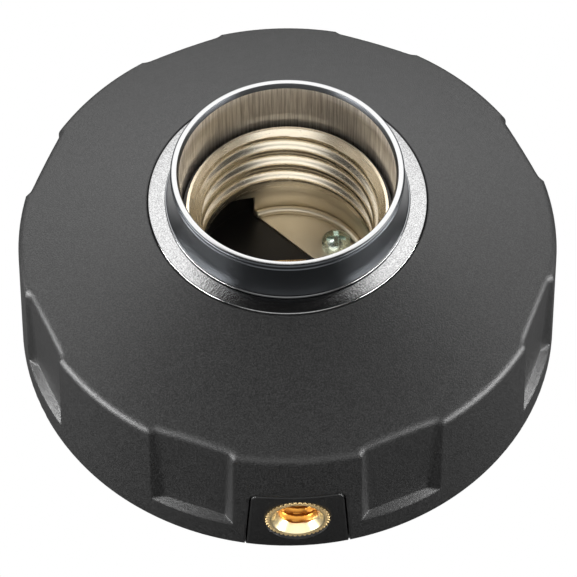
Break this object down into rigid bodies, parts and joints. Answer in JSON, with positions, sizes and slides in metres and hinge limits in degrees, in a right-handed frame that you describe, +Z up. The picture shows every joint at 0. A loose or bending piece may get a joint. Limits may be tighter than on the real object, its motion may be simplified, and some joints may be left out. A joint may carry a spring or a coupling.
{
  "type": "screw lamp holder",
  "caption": "Round domed base with grip recesses, a metal collar round a large screw lamp socket, and a threaded stand insert in its side.",
  "frame": {"origin": "bottom centre of the round body, on the surface it stands on", "axes": "+Z up along the lamp's axis, -Y out of the stand insert, +Y out of the cable inlet"},
  "size_m": [0.0786, 0.0786, 0.0378],
  "materials": {
    "body_plastic": "fine spark-eroded texture",
    "cover_plastic": "satin moulded",
    "insert_brass": "turned and knurled",
    "screw_steel": "zinc plated",
    "contact_screw_steel": "zinc plated",
    "trim_metal": "shot blasted",
    "collar_metal": "satin with polished rim",
    "nut_steel": "plated",
    "insulator_plastic": "moulded phenolic",
    "shell_metal": "nickel-plated rolled brass",
    "leaf_bronze": "spring bronze",
    "tip_silver": "silver",
    "terminal_brass": "machined",
    "grommet_rubber": "soft",
    "clamp_plastic": "moulded"
  },
  "bodies": {
    "root": {"housing": "body_plastic", "base_cover": "cover_plastic", "stand_insert": "insert_brass", "cover_screws": "screw_steel", "insulator_screws": "screw_steel", "clamp_screws": "screw_steel", "terminal_screws": "screw_steel", "shell_screw": "contact_screw_steel", "contact_screw": "contact_screw_steel", "trim_ring": "trim_metal", "collar": "collar_metal", "collar_nut": "nut_steel", "insulator_body": "insulator_plastic", "screw_shell": "shell_metal", "contact_leaf": "leaf_bronze", "contact_tip": "tip_silver", "side_terminal": "terminal_brass", "centre_terminal": "terminal_brass", "cable_grommet": "grommet_rubber", "cable_clamp": "clamp_plastic"}
  },
  "joints": []
}
